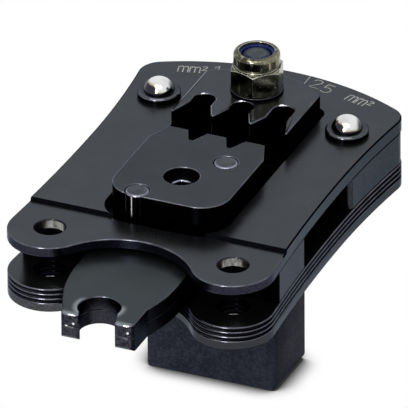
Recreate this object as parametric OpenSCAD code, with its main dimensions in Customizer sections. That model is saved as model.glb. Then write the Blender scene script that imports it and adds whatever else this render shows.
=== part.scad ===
// Crimp die head: a riveted plate frame that holds a fixed die with three nests, a sliding ram
// that carries the moving die, and a contact locator under the nests.
// The origin lies midway between the two ear holes, on the underside of the top plate.
// +Y points from the ears to the fixed die and +Z points up.

/* [Frame plates] */
// Distance from the centre line to each ear hole
ear_x = 16.1; // [15:0.1:17.5]
// Outer radius of each ear
ear_r = 6.95; // [6.2:0.05:7.6]
// Radius of the ear holes
ear_hole_r = 2.5; // [1.5:0.1:3.5]
// Front edge of the plates on the centre line
nose_y = 1.3; // [0.5:0.1:2]
// How far the waist of the plates stands outside the ear holes
waist_out = 5.65; // [5.1:0.05:5.9]
// Distance of the waist behind the ear holes
waist_y = 31; // [26:0.5:36]
// Radius of the flared sides behind the waist
flare_r = 180; // [140:5:300]
// Width of the plates behind the fixed die
rear_web = 7.8; // [6:0.1:12]
// Radius of the rear edge
rear_r = 45; // [38:0.5:60]
// Radius of the rear corners
corner_r = 4; // [2:0.1:6]
// Thickness of the top plate
top_t = 2.4; // [1.6:0.1:3.5]
// Length of the lowered area over the ears, measured from the ear holes
step_y = 6.9; // [4:0.1:9]
// Depth of the lowered area over the ears
step_d = 0.6; // [0.3:0.05:1]
// Open height between the top plate and the lower plates
gap_h = 5.9; // [5:0.1:8]
// Number of thin lower plates
thin_count = 3; // [3]
// Thickness of each thin lower plate
thin_t = 0.87; // [0.6:0.01:1.2]
// Thickness of the base plate
base_t = 1.6; // [1.2:0.1:2.4]

/* [Window] */
// Gap between the dies and the sides of the window in the top plate
window_side_gap = 0.5; // [0.4:0.1:1.2]
// Gap between the moving die at rest and the front edge of the window
window_front_gap = 1.6; // [1.2:0.1:2]
// Radius of the two front corners of the window
window_r = 5; // [4:0.5:6]
// Half width of the contact opening in the lower plates
port_hw = 9.6; // [8.6:0.1:9.8]
// How far the contact opening reaches in front of the lips of the fixed die
port_reach = 5.1; // [4.1:0.1:8]
// How far the contact opening ends in front of the deepest nest
port_end = 0.5; // [0.2:0.1:1]
// Corner radius of the contact opening
port_r = 1.5; // [0.5:0.1:3]

/* [Spacers] */
// Front end of the guide rails
rail_front_y = 3.6; // [3.2:0.1:5]
// Rear end of the guide rails
rail_rear_y = 15.8; // [15:0.1:20]
// How far the rear spacer reaches in front of the lips of the fixed die
spacer_reach = 0.1; // [-2:0.1:1]
// Radius of the outer front corners of the rear spacer
spacer_end_r = 1; // [0.3:0.1:2]
// How far the spacers stand back from the edge of the plates
spacer_inset = 0.15; // [0:0.05:0.5]
// Radius of the dowel pins that locate the guide rails
rail_pin_r = 1.25; // [0.8:0.05:1.5]
// Sideways distance from the ear hole in to the front rail pin
rail_pin_in = 1.2; // [0.8:0.1:2]
// Sideways distance from the ear hole out to the rear rail pin
rail_pin_out = 2; // [1:0.1:2.6]
// Distance of the rail pins from the ends of the rails, as a share of their length
rail_pin_share = 0.28; // [0.25:0.01:0.4]
// Depth of the rail pins in the top plate
rail_pin_depth = 1; // [0.5:0.1:1.1]

/* [Dies] */
// Half width of both dies
die_hw = 10.2; // [10:0.1:10.4]
// Height of the die faces above the top plate
die_rise = 3.7; // [2:0.1:5]
// Distance between neighbouring nests
pitch = 6.7; // [6.3:0.1:6.9]
// Half width of the nests
nest_hw = 1.8; // [1.5:0.05:2]
// Distance of each arch top behind the teeth of the fixed die
nest_depths = [6.5, 6.5, 7.7];
// Front face of the outer lips of the fixed die
lip_y = 36.1; // [35.5:0.1:36.5]
// How far the teeth stand back from the outer lips
tooth_setback = 0.9; // [0.3:0.1:1.5]
// Half width of the tooth tips
tip_hw = 0.25; // [0.15:0.05:0.4]
// Flank angle of the teeth and of the notches that they enter
flank = 24; // [20:1:27]
// Width of the outer lips at their tips
lip_w = 0.25; // [0.15:0.05:0.4]
// Length of the fixed die from its outer lips to its rear edge
die_l = 17.8; // [17.4:0.1:19]
// Radius of the rear edge of the fixed die
die_back_r = 17.5; // [15:0.5:25]
// Radius of the rear corners of the fixed die
die_corner_r = 1.5; // [1:0.1:2.5]
// Length of the moving die
moving_l = 23.3; // [23:0.1:24.5]
// Opening between the punch faces and the outer lips
die_opening = 4.9; // [4.5:0.1:6]
// Radius of the front corners of the moving die
moving_r = 5; // [3:0.1:6]
// Depth of the notches between the punches
notch_d = 3; // [2:0.1:3.2]
// Distance of the foot of the fixed die behind the contact opening
foot_gap = 0.3; // [0.1:0.1:1]

/* [Die fasteners] */
// Distance of the die screw behind the front of the moving die
die_screw_y = 8.7; // [8.5:0.1:9.5]
// Counterbore radius of the die screw
die_screw_head_r = 2.9; // [2.5:0.1:3]
// Height of the head of the die screw
die_screw_head_h = 2.2; // [1.5:0.1:2.5]
// Depth of that head below the face of the moving die
die_screw_sink = 1.6; // [0.8:0.1:2.2]
// Radius of the shank of the die screw
die_screw_r = 2; // [1.5:0.05:2.2]
// Radius of the two die dowels
dowel_r = 2; // [1.5:0.05:2.1]
// Sideways distance from the die screw to each dowel
dowel_dx = 4.83; // [4.5:0.05:5.5]
// Lengthwise distance from the die screw to each dowel
dowel_dy = 6.95; // [6.5:0.05:7]

/* [Ram] */
// Half width of the ram between the guide rails
ram_hw = 9.05; // [8.6:0.05:9.4]
// Gap between the ram and the top plate
ram_head_gap = 0.6; // [0.1:0.05:0.8]
// Front end of the ram
ram_front_y = -21; // [-24:0.1:-20]
// How far the ram ends in front of the punches
ram_setback = 2.2; // [1.2:0.1:4]
// Straight length of the prongs between their corners and the hollows
prong_l = 0.1; // [0:0.1:1]
// Half width of the narrow front of the ram
ram_neck_hw = 6.4; // [6:0.1:6.8]
// Radius of the shoulders of the ram
ram_shoulder_r = 30; // [24:0.5:34]
// Radius of the hollows in front of the shoulders
ram_hollow_r = 2; // [1:0.5:4]
// Radius of the outer corners at the front of the ram
ram_corner_r = 1.2; // [0.4:0.1:1.6]
// How far the prongs lean to the +X side at their tips
prong_lean = 1; // [0:0.1:1.2]
// Radius of the edge under the tips of the prongs
prong_sole_r = 1.6; // [0.5:0.1:1.8]
// Radius of the corners of the mouth of the drive notch
mouth_corner_r = 0.7; // [0.3:0.1:1.2]
// Radius of the drive notch
notch_r = 3.45; // [3.2:0.05:3.7]
// Distance of the centre of the drive notch behind the front of the ram
notch_y = 4; // [3.9:0.05:5]
// How much nearer to its middle the mouth of the drive notch is than the notch is wide
mouth_in = 0.3; // [0.1:0.05:0.8]

/* [Rivets] */
// How far the rear rivets stand inside the waist of the plates
rivet_in = 5.1; // [4.5:0.05:5.4]
// How far the rear rivets stand in front of the pivot
rivet_lead = 1.75; // [-4:0.05:6]
// Radius of the shank of the rivets
rivet_r = 2; // [1.5:0.1:2.3]
// Radius of the domed heads
dome_r = 2.65; // [2.4:0.05:3]
// How far the centre of each dome lies below the top of its collar
dome_sink = 0.55; // [0.1:0.05:0.6]
// Outer radius of the collars under the heads
collar_r = 3.6; // [3.2:0.1:4]
// Height of the collars
collar_h = 1.1; // [0.6:0.1:2]
// Chamfer on the top of the collars
collar_chamfer = 0.3; // [0.1:0.05:0.4]
// Depth of the countersunk rivet tails in the base plate
tail_h = 0.9; // [0.5:0.1:1.1]

/* [Pivot and nut] */
// Distance of the pivot behind the teeth of the fixed die
pivot_back = 10.8; // [10.6:0.1:11.2]
// Radius of the pivot bolt
bolt_r = 2.5; // [2:0.1:2.6]
// Radius of the head of the pivot bolt
bolt_head_r = 3.75; // [3.4:0.05:3.9]
// Height of the head of the pivot bolt
bolt_head_h = 3.4; // [2.5:0.1:3.6]
// Chamfer on the head of the pivot bolt
bolt_head_chamfer = 0.3; // [0.1:0.1:0.6]
// Chamfer on the end of the pivot bolt
bolt_chamfer = 0.4; // [0.1:0.1:0.8]
// How far the end of the pivot bolt lies below the top of the nut
bolt_sink = 0.5; // [-1:0.1:1]
// Across flats of the socket in the bolt head
bolt_socket_af = 3; // [2.5:0.5:4]
// Depth of that socket
bolt_socket_d = 1.8; // [1:0.1:2]
// Outer radius of the washer under the nut
washer_r = 4.4; // [4:0.1:4.6]
// Thickness of the washer under the nut
washer_t = 0.5; // [0.3:0.1:1.2]
// Across flats of the lock nut
nut_af = 8; // [7.5:0.1:8.2]
// Height of the hexagon of the lock nut
nut_hex_h = 4.2; // [3:0.1:5]
// Height of the whole lock nut
nut_h = 6.8; // [6.2:0.1:7.5]
// Outer radius of the round collar of the lock nut
nut_collar_r = 3.85; // [3.6:0.05:3.95]
// Height of the neck between the hexagon and the collar
nut_neck_h = 0.5; // [0.2:0.1:0.8]
// Depth of that neck
nut_neck_d = 0.25; // [0.1:0.05:0.3]
// Height of the chamfers at the corners of the hexagon
nut_chamfer = 0.35; // [0.2:0.05:0.6]
// Radius of the rolled rim of the collar
nut_rim_r = 0.7; // [0.4:0.1:0.9]
// Thickness of the lip of that rim over the nylon ring
nut_lip_t = 0.5; // [0.2:0.1:0.6]
// How far that lip reaches over the nylon ring
nut_lip_w = 0.3; // [0.1:0.05:0.4]
// Turn of the lock nut about the bolt
nut_turn = -15.9; // [-30:0.1:30]
// Wall of the collar of the nut around the nylon ring
insert_wall = 0.65; // [0.5:0.05:0.8]
// Height of the nylon ring
insert_h = 1.4; // [0.8:0.1:1.7]
// Outer radius of the friction washer
friction_r = 6.5; // [5:0.1:7]
// Thickness of the friction washer
friction_t = 0.3; // [0.2:0.05:0.6]

/* [Locator] */
// Half width of the locator block
block_hw = 11.6; // [10.8:0.1:12.5]
// Distance from the contact bores forward to the front face of the locator block
block_reach = 13.5; // [13:0.1:16]
// Length of the foot of the locator block
block_l = 12; // [11:0.1:16]
// Bottom face of the locator block
block_bottom_z = -37.9; // [-45:0.1:-35]
// How far the locator reaches behind the pivot
tail_reach = 12.2; // [9:0.1:13]
// Height of the part of the block behind its foot
shelf_h = 8.8; // [8:0.1:12]
// Radius between the foot and the underside behind it
shelf_fillet_r = 1; // [0.5:0.1:3]
// Radius of the front and rear bottom edges of the locator block
block_sole_r = 0.3; // [0.2:0.1:1.5]
// Radius of the bottom edges at the sides of the locator block
block_edge_r = 1.2; // [0.8:0.1:2]
// Radius of the upright edges of the locator block
block_side_r = 1; // [0.5:0.1:1.5]
// Thickness of the locator arm
arm_t = 5; // [4.8:0.1:6]
// How far the arm stands back from the edges of the block
arm_inset = 0.4; // [0.2:0.1:1]
// Radius of the contact bores in the locator
contact_r = 1.55; // [1:0.05:1.6]
// Distance of the contact bores behind the teeth of the fixed die
contact_back = 4.6; // [4.3:0.1:4.8]
// Depth of the contact bores in the block
contact_d = 7; // [4:0.5:7.5]
// Sideways distance from the centre line to each locator screw
arm_screw_x = 6.5; // [5:0.1:7.5]
// Distance of the locator screws behind the front of the block
arm_screw_y = 4.5; // [4:0.1:6]
// Radius of the locator screws
arm_screw_r = 1.5; // [1:0.1:1.8]
// Length of the locator screws
arm_screw_l = 12; // [8:0.5:16]

/* [Clearances] */
// Gap between the ram and the guide rails on each side
slide_gap = 0.15; // [0.1:0.05:0.3]
// Gap between the ram and the lower plates
float_gap = 0.3; // [0.1:0.05:0.4]
// Gap between the underside of the moving die and the guide rails
rail_gap = 0.1; // [0.05:0.05:0.3]
// Gap around pins, rivets and bolts in their holes
hole_gap = 0.05; // [0.02:0.01:0.1]
// End play of the locator on the pivot bolt
end_play = 0.05; // [0.03:0.01:0.1]
// Gap around the head of the pivot bolt in the locator
head_gap = 0.1; // [0.05:0.05:0.3]
// Gap between the fixed die and its pocket
pocket_gap = 0.1; // [0.05:0.05:0.3]
// Sideways gap between the punches and the teeth and lips that they enter
mesh_gap = 0.1; // [0.1:0.05:0.2]
// Gap left between the tooth tips and the notches when the ram is closed
closed_gap = 0.2; // [0.1:0.05:0.5]

/* [Hidden] */
$fn = 64;

// Colours
burnished = [0.2, 0.21, 0.22];
die_black = [0.15, 0.16, 0.17];
bright_steel = [0.78, 0.78, 0.77];
zinc = [0.66, 0.64, 0.5];
nylon_blue = [0.2, 0.26, 0.6];
blasted_grey = [0.17, 0.18, 0.21];

// Number of straight steps in a rounded stretch of an outline
arc_steps = 12;
// Overlap that lets a cut run past the face it starts from
past = 1;

// Heights of the stacked faces
ram_t = (gap_h - float_gap - ram_head_gap) / 2;
face_z = top_t + die_rise;
stack_top_z = -gap_h;
base_top_z = stack_top_z - thin_count * thin_t;
base_z = base_top_z - base_t;
ram_z = stack_top_z + float_gap;
ram_top_z = ram_z + 2 * ram_t;

// Places of the dies
tooth_y = lip_y + tooth_setback;
root_y = tooth_y + (pitch / 2 - tip_hw - nest_hw) / tan(flank);
die_back_y = lip_y + die_l;
back_centre_y = die_back_y - die_back_r;
moving_rear_y = lip_y - die_opening;
moving_front_y = moving_rear_y - moving_l;
screw_y = moving_front_y + die_screw_y;
nest_xs = [-pitch, 0, pitch];
pivot_y = tooth_y + pivot_back;

// Travel of the ram, and the shoulders of the outer punches that then stand inside the lips
ram_travel = tooth_y - closed_gap - moving_rear_y + notch_d;
lip_slope = (die_hw - lip_w - pitch - nest_hw) / (root_y - lip_y);
shoulder_x = pitch + nest_hw + (root_y - moving_rear_y - ram_travel) * lip_slope - mesh_gap;
shoulder_l = (die_hw - shoulder_x) / lip_slope;

// Outline of the plates: a hollow nose, round ears, waisted sides and a bowed rear edge
waist_x = ear_x + waist_out;
rear_y = die_back_y + rear_web;
ear = [ear_x, 0];
nose_r = (ear_x * ear_x + nose_y * nose_y - ear_r * ear_r) / (2 * (ear_r + nose_y));
nose = [0, nose_y - nose_r];
side_r = (waist_out * waist_out + waist_y * waist_y - ear_r * ear_r) / (2 * (ear_r - waist_out));
side = [waist_x + side_r, waist_y];
flare = [waist_x + flare_r, waist_y];
rear = [0, rear_y - rear_r];
corner = meet(flare, flare_r + corner_r, rear, rear_r - corner_r);

// Openings around the dies, and what stands beside them
window_hw = die_hw + window_side_gap;
window_front_y = moving_front_y - window_front_gap;
port_front_y = lip_y - port_reach;
port_rear_y = tooth_y + max(nest_depths) - port_end;
spacer_front_y = lip_y - spacer_reach;
rivet_x = waist_x - rivet_in;
rivet_y = pivot_y - rivet_lead;

// Ram: the narrower prong sets where its sides begin to widen
ram_rear_y = moving_rear_y - ram_setback;
ram_taper_y = ram_front_y + ram_corner_r + prong_l
    + (ram_shoulder_r + ram_hollow_r) * sin(neck_turn(ram_neck_hw - prong_lean));
mouth_hw = notch_r - mouth_in;

// Nut: the nylon ring lies under the lip of the rim
insert_r = nut_collar_r - insert_wall;
nut_z = face_z + washer_t;
insert_z = nut_z + nut_h - nut_lip_t - insert_h;
bolt_end_z = nut_z + nut_h - bolt_sink;

// Places of the locator
contact_y = tooth_y + contact_back;
block_front_y = contact_y - block_reach;
arm_top_z = base_z - friction_t - end_play;
arm_z = arm_top_z - arm_t;
bolt_head_top_z = arm_z + bolt_head_h;
block_rear_y = pivot_y + tail_reach;

// Points of a round stretch about c, from angle a0 to angle a1
function arc(c, r, a0, a1) = [for (i = [0:arc_steps])
    let (a = a0 + (a1 - a0) * i / arc_steps) [c[0] + r * cos(a), c[1] + r * sin(a)]];

// Upper crossing of the circles about c1 and c2, seen from c1 to its right
function meet(c1, r1, c2, r2) =
    let (d = norm(c2 - c1), u = (c2 - c1) / d, a = (r1 * r1 - r2 * r2 + d * d) / (2 * d))
    c1 + a * u + sqrt(r1 * r1 - a * a) * [u[1], -u[0]];

// Direction from p to q
function toward(p, q) = atan2(q[1] - p[1], q[0] - p[0]);

// The points of a right half as its left half, without those on the centre line
function mirrored(half) =
    [for (i = [len(half) - 1:-1:0]) if (half[i][0] > 0.001) [-half[i][0], half[i][1]]];

function both_sides(half) = concat(half, mirrored(half));

function plate_half(inset) = concat(
    arc(nose, nose_r + inset, 90, toward(nose, ear)),
    arc(ear, ear_r - inset, toward(nose, ear) + 180, 270),
    arc(ear, ear_r - inset, 270, 360 + toward(ear, side)),
    arc(side, side_r + inset, 180 + toward(ear, side), 180),
    arc(flare, flare_r + inset, 180, toward(flare, corner)),
    arc(corner, corner_r - inset, toward(corner, flare), toward(rear, corner)),
    arc(rear, rear_r - inset, toward(rear, corner), 90));

module plate_outline(inset = 0) {
    polygon(both_sides(plate_half(inset)));
}

// Rear edge of the fixed die, widened by gap, for a body that is 2 * hw wide
function back_half(hw, gap) =
    let (f = die_corner_r + gap, r = die_back_r + gap, x = hw - f,
        c = [x, back_centre_y + sqrt((r - f) * (r - f) - x * x)],
        a = toward([0, back_centre_y], c))
    concat(arc(c, f, 0, a), arc([0, back_centre_y], r, a, 90));

// Box between two corners with rounded upright edges
module rounded_rect(x0, y0, x1, y1, r) {
    polygon(concat(
        arc([x1 - r, y0 + r], r, -90, 0),
        arc([x1 - r, y1 - r], r, 0, 90),
        arc([x0 + r, y1 - r], r, 90, 180),
        arc([x0 + r, y0 + r], r, 180, 270)));
}

// Upright hole through everything between two heights
module hole(x, y, r, z0, z1) {
    translate([x, y, z0 - past]) cylinder(h = z1 - z0 + 2 * past, r = r);
}

module both_x(x) {
    for (s = [-1, 1]) translate([s * x, 0, 0]) children();
}

// Layer of the frame: the plate outline with its ear holes
module frame_layer(z, t, inset = 0) {
    difference() {
        translate([0, 0, z]) linear_extrude(t) plate_outline(inset);
        for (s = [-1, 1]) hole(s * ear_x, 0, ear_hole_r, z, z + t);
    }
}

module window_outline() {
    c = [window_hw - window_r, window_front_y + window_r];
    polygon(both_sides(concat(
        [[0, window_front_y]],
        arc(c, window_r, -90, 0),
        back_half(window_hw, window_hw - die_hw))));
}

function rail_pin_places() =
    let (end_l = rail_pin_share * (rail_rear_y - rail_front_y))
    [for (s = [-1, 1], p = [[-rail_pin_in, rail_front_y + end_l], [rail_pin_out, rail_rear_y - end_l]])
        [s * (ear_x + p[0]), p[1]]];

module rail_pin_holes(z0, z1) {
    for (p = rail_pin_places()) hole(p[0], p[1], rail_pin_r + hole_gap, z0, z1);
}

module rivet_holes(z0, z1) {
    for (s = [-1, 1]) hole(s * rivet_x, rivet_y, rivet_r + hole_gap, z0, z1);
}

module top_plate() {
    color(burnished) difference() {
        frame_layer(0, top_t);
        translate([0, 0, -past]) linear_extrude(top_t + 2 * past) window_outline();
        translate([-2 * waist_x, step_y - 2 * waist_x, top_t - step_d])
            cube([4 * waist_x, 2 * waist_x, top_t]);
        rivet_holes(0, top_t);
        rail_pin_holes(-past, rail_pin_depth - past);
    }
}

module guide_rail(s) {
    color(burnished) difference() {
        intersection() {
            translate([0, 0, -gap_h]) linear_extrude(gap_h) plate_outline(spacer_inset);
            translate([s > 0 ? ram_hw + slide_gap : -2 * waist_x, rail_front_y, -gap_h])
                cube([2 * waist_x - ram_hw - slide_gap, rail_rear_y - rail_front_y, gap_h]);
        }
        rail_pin_holes(-gap_h, 0);
    }
}

module guide_rail_left() {
    guide_rail(-1);
}

module guide_rail_right() {
    guide_rail(1);
}

// Everything behind the front of the spacer, with its outer front corners rounded off
module spacer_ends() {
    front = spacer_front_y + spacer_end_r;
    edge_x = flare[0] - sqrt(pow(flare_r + spacer_inset, 2) - pow(front - flare[1], 2)) + past / 20;
    polygon(both_sides(concat([[0, spacer_front_y]],
        arc([edge_x - spacer_end_r, front], spacer_end_r, -90, 0),
        [[2 * waist_x, front + 2 * spacer_end_r], [2 * waist_x, rear_y], [0, rear_y]])));
}

// Horseshoe behind the dies: its pocket takes the push of the fixed die
module rear_spacer() {
    pocket_hw = die_hw + pocket_gap;
    color(burnished) difference() {
        intersection() {
            translate([0, 0, -gap_h]) linear_extrude(gap_h) plate_outline(spacer_inset);
            translate([-2 * waist_x, spacer_front_y, -gap_h]) cube([4 * waist_x, rear_y, gap_h]);
            translate([0, 0, -gap_h]) linear_extrude(gap_h) spacer_ends();
        }
        translate([0, 0, -gap_h - past]) linear_extrude(gap_h + 2 * past)
            polygon(both_sides(concat(
                [[0, spacer_front_y - past], [pocket_hw, spacer_front_y - past]],
                back_half(pocket_hw, pocket_gap))));
        rivet_holes(-gap_h, 0);
    }
}

// Lower plate with its contact opening and the holes that line up through the stack
module lower_plate(z, t) {
    color(burnished) difference() {
        frame_layer(z, t);
        translate([0, 0, z - past]) linear_extrude(t + 2 * past)
            rounded_rect(-port_hw, port_front_y, port_hw, port_rear_y, port_r);
        hole(0, pivot_y, bolt_r + hole_gap, z, z + t);
        rivet_holes(z, z + t);
        rail_pin_holes(z, z + t);
    }
}

module lower_plate_1() {
    lower_plate(stack_top_z - thin_t, thin_t);
}

module lower_plate_2() {
    lower_plate(stack_top_z - 2 * thin_t, thin_t);
}

module lower_plate_3() {
    lower_plate(stack_top_z - 3 * thin_t, thin_t);
}

module base_plate() {
    color(burnished) difference() {
        lower_plate(base_z, base_t);
        both_x(rivet_x) translate([0, rivet_y, base_z]) rivet_tail(hole_gap);
    }
}

module rail_pins() {
    color(bright_steel) for (p = rail_pin_places())
        translate([p[0], p[1], base_z]) cylinder(h = rail_pin_depth - base_z - past / 20, r = rail_pin_r);
}

// Countersunk end of a rivet, flush with the base plate
module rivet_tail(gap) {
    cylinder(h = tail_h, r1 = rivet_r + tail_h + gap, r2 = rivet_r + gap);
}

module rear_rivets() {
    head_z = top_t + collar_h;
    color(bright_steel) both_x(rivet_x) translate([0, rivet_y, 0]) rotate_extrude() polygon(concat(
        [[0, base_z], [rivet_r + tail_h, base_z], [rivet_r, base_z + tail_h], [rivet_r, head_z]],
        arc([0, head_z - dome_sink], dome_r, asin(dome_sink / dome_r), 90)));
}

module rivet_collars() {
    color(die_black) both_x(rivet_x) translate([0, rivet_y, top_t]) rotate_extrude() polygon([
        [rivet_r + hole_gap, 0], [collar_r, 0], [collar_r, collar_h - collar_chamfer],
        [collar_r - collar_chamfer, collar_h], [rivet_r + hole_gap, collar_h]]);
}

// One nest: a tapered mouth between two tooth flanks, then a slot with a round arch.
// left and right are the half widths of the mouth and its front on each side.
module nest(depth, left, right) {
    arch_y = tooth_y + depth - nest_hw;
    polygon([[-left[0], lip_y - past], [right[0], lip_y - past], right, [nest_hw, root_y],
        [nest_hw, arch_y], [-nest_hw, arch_y], [-nest_hw, root_y], [-left[0], left[1]]]);
    translate([0, arch_y]) circle(r = nest_hw);
}

module fixed_die_outline() {
    tooth_side = [pitch / 2 - tip_hw, tooth_y];
    lip_side = [die_hw - lip_w - pitch, lip_y];
    difference() {
        polygon(both_sides(concat([[0, lip_y], [die_hw, lip_y]], back_half(die_hw, 0))));
        for (i = [0:2]) translate([nest_xs[i], 0])
            nest(nest_depths[i], i == 0 ? lip_side : tooth_side, i == 2 ? lip_side : tooth_side);
        for (s = [-1, 1]) translate([s * pitch / 2 - 2 * tip_hw, lip_y - past])
            square([4 * tip_hw, tooth_setback + past]);
    }
}

// Fixed die: nests above the ram, and a foot behind them on the lower plates
module fixed_die() {
    foot_front_y = port_rear_y + foot_gap;
    color(die_black) difference() {
        translate([0, 0, stack_top_z]) linear_extrude(face_z - stack_top_z) fixed_die_outline();
        translate([-die_hw - past, lip_y - past, stack_top_z - past])
            cube([2 * (die_hw + past), foot_front_y - lip_y + past, ram_top_z - stack_top_z + past]);
        hole(0, pivot_y, bolt_r + hole_gap, stack_top_z, face_z);
    }
}

module pivot_bolt() {
    socket_r = bolt_socket_af / sqrt(3);
    color(bright_steel) translate([0, pivot_y, 0]) difference() {
        rotate_extrude() polygon([
            [0, arm_z], [bolt_head_r - bolt_head_chamfer, arm_z],
            [bolt_head_r, arm_z + bolt_head_chamfer],
            [bolt_head_r, bolt_head_top_z - end_play], [bolt_r, bolt_head_top_z - end_play],
            [bolt_r, bolt_end_z - bolt_chamfer], [bolt_r - bolt_chamfer, bolt_end_z],
            [0, bolt_end_z]]);
        translate([0, 0, arm_z - past]) cylinder(h = bolt_socket_d + past, r = socket_r, $fn = 6);
    }
}

module nut_washer() {
    color(die_black) translate([0, pivot_y, face_z]) difference() {
        cylinder(h = washer_t, r = washer_r);
        hole(0, 0, bolt_r + hole_gap, 0, washer_t);
    }
}

// Lock nut: chamfered hexagon, round collar with a rolled rim, and a seat for the nylon ring
module lock_nut() {
    corner_radius = nut_af / sqrt(3);
    neck_z = nut_hex_h + nut_neck_h;
    neck_r = nut_collar_r - nut_neck_d;
    color(zinc) translate([0, pivot_y, nut_z]) difference() {
        union() {
            intersection() {
                rotate(nut_turn) cylinder(h = nut_hex_h, r = corner_radius, $fn = 6);
                rotate_extrude() polygon([[0, 0], [nut_af / 2, 0], [corner_radius, nut_chamfer],
                    [corner_radius, nut_hex_h - nut_chamfer], [nut_af / 2, nut_hex_h],
                    [0, nut_hex_h]]);
            }
            rotate_extrude() polygon(concat([[0, 0], [neck_r, 0], [neck_r, neck_z - nut_neck_d],
                [nut_collar_r, neck_z]],
                arc([nut_collar_r - nut_rim_r, nut_h - nut_rim_r], nut_rim_r, 0, 90), [[0, nut_h]]));
        }
        hole(0, 0, bolt_r + hole_gap, 0, nut_h);
        translate([0, 0, insert_z - nut_z]) cylinder(h = insert_h, r = insert_r);
        translate([0, 0, nut_h - nut_lip_t - past / 4])
            cylinder(h = nut_lip_t + past, r = insert_r - nut_lip_w);
    }
}

module nut_insert() {
    color(nylon_blue) translate([0, pivot_y, insert_z]) difference() {
        cylinder(h = insert_h, r = insert_r);
        hole(0, 0, bolt_r + hole_gap, 0, insert_h);
    }
}

module friction_washer() {
    color(bright_steel) translate([0, pivot_y, base_z - friction_t]) difference() {
        cylinder(h = friction_t, r = friction_r);
        hole(0, 0, bolt_r + hole_gap, 0, friction_t);
    }
}

// Turn of the hollow and the shoulder between a prong and the parallel sides of the ram
function neck_turn(neck_hw) = acos(1 - (ram_hw - neck_hw) / (ram_shoulder_r + ram_hollow_r));

// Half of the ram: a prong with a rounded tip, a hollow, a shoulder and then parallel sides
function ram_half(neck_hw) =
    let (turn = neck_turn(neck_hw),
        shoulder = [ram_hw - ram_shoulder_r, ram_taper_y],
        hollow = [neck_hw + ram_hollow_r,
            ram_taper_y - (ram_shoulder_r + ram_hollow_r) * sin(turn)],
        prong = [neck_hw - ram_corner_r, ram_front_y + ram_corner_r])
    concat([[0, ram_front_y]],
        arc(prong, ram_corner_r, -90, 0),
        arc(hollow, ram_hollow_r, 180, 180 - turn),
        arc(shoulder, ram_shoulder_r, -turn, 0),
        [[ram_hw, ram_rear_y - past], [ram_hw - past, ram_rear_y], [0, ram_rear_y]]);

// One side of the mouth of the drive notch, from the middle of the notch to a rounded corner
function mouth_half(front_hw) = concat([[mouth_hw, ram_front_y + notch_y]],
    arc([front_hw + mouth_corner_r, ram_front_y + mouth_corner_r], mouth_corner_r, 180, 270),
    [[front_hw + mouth_corner_r, ram_front_y - past]]);

module ram_plate(z) {
    color(burnished) difference() {
        translate([0, 0, z]) linear_extrude(ram_t) polygon(concat(
            ram_half(ram_neck_hw + prong_lean), mirrored(ram_half(ram_neck_hw - prong_lean))));
        hole(0, ram_front_y + notch_y, notch_r, z, z + ram_t);
        translate([0, 0, z - past]) linear_extrude(ram_t + 2 * past) polygon(concat(
            mouth_half(mouth_hw + prong_lean), mirrored(mouth_half(mouth_hw - prong_lean))));
        die_dowel_holes(z, z + ram_t);
        hole(0, screw_y, die_screw_r + hole_gap, z, z + ram_t);
    }
}

module ram_upper_plate() {
    ram_plate(ram_z + ram_t);
}

// What the rounding under the tips of the prongs takes away
module prong_soles() {
    difference() {
        translate([-waist_x, ram_front_y - past, ram_z - past])
            cube([2 * waist_x, prong_sole_r + past, prong_sole_r + past]);
        translate([-waist_x - past, ram_front_y + prong_sole_r, ram_z + prong_sole_r])
            rotate([0, 90, 0]) cylinder(h = 2 * (waist_x + past), r = prong_sole_r);
    }
}

module ram_lower_plate() {
    color(burnished) difference() {
        ram_plate(ram_z);
        prong_soles();
    }
}

module die_dowel_holes(z0, z1) {
    for (s = [-1, 1]) hole(s * dowel_dx, screw_y + s * dowel_dy, dowel_r + hole_gap, z0, z1);
}

// Moving die: three punches with notches between them, and tapered shoulders. Its foot is as
// wide as the ram, and its sides stand clear of the guide rails.
module moving_die() {
    floor_hw = tip_hw + mesh_gap;
    open_hw = floor_hw + notch_d * tan(flank);
    half = concat([[0, moving_front_y]],
        arc([die_hw - moving_r, moving_front_y + moving_r], moving_r, -90, 0),
        [[die_hw, moving_rear_y - shoulder_l], [shoulder_x, moving_rear_y],
            [pitch / 2 + open_hw, moving_rear_y], [pitch / 2 + floor_hw, moving_rear_y - notch_d],
            [pitch / 2 - floor_hw, moving_rear_y - notch_d], [pitch / 2 - open_hw, moving_rear_y],
            [0, moving_rear_y]]);
    color(die_black) difference() {
        translate([0, 0, ram_top_z]) linear_extrude(face_z - ram_top_z) polygon(both_sides(half));
        die_dowel_holes(ram_top_z, face_z);
        hole(0, screw_y, die_screw_r + hole_gap, ram_top_z, face_z);
        translate([0, screw_y, face_z - die_screw_sink - die_screw_head_h])
            cylinder(h = die_screw_sink + die_screw_head_h + past, r = die_screw_head_r + hole_gap);
        for (s = [-1, 1]) translate([s > 0 ? ram_hw : -2 * die_hw, moving_front_y - past, ram_top_z - past])
            cube([2 * die_hw - ram_hw, moving_l + 2 * past, rail_gap - ram_top_z + past]);
    }
}

module die_dowels() {
    color(bright_steel) for (s = [-1, 1])
        translate([s * dowel_dx, screw_y + s * dowel_dy, ram_z]) cylinder(h = face_z - ram_z, r = dowel_r);
}

module die_screw() {
    head_top_z = face_z - die_screw_sink;
    color(burnished) translate([0, screw_y, 0]) difference() {
        union() {
            translate([0, 0, ram_z]) cylinder(h = head_top_z - ram_z, r = die_screw_r);
            translate([0, 0, head_top_z - die_screw_head_h])
                cylinder(h = die_screw_head_h, r = die_screw_head_r);
        }
        translate([0, 0, head_top_z - die_screw_head_h / 2])
            cylinder(h = die_screw_head_h, r = die_screw_r * 0.75, $fn = 6);
    }
}

module contact_bores(z0, z1) {
    for (x = nest_xs) hole(x, contact_y, contact_r, z0, z1);
}

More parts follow.
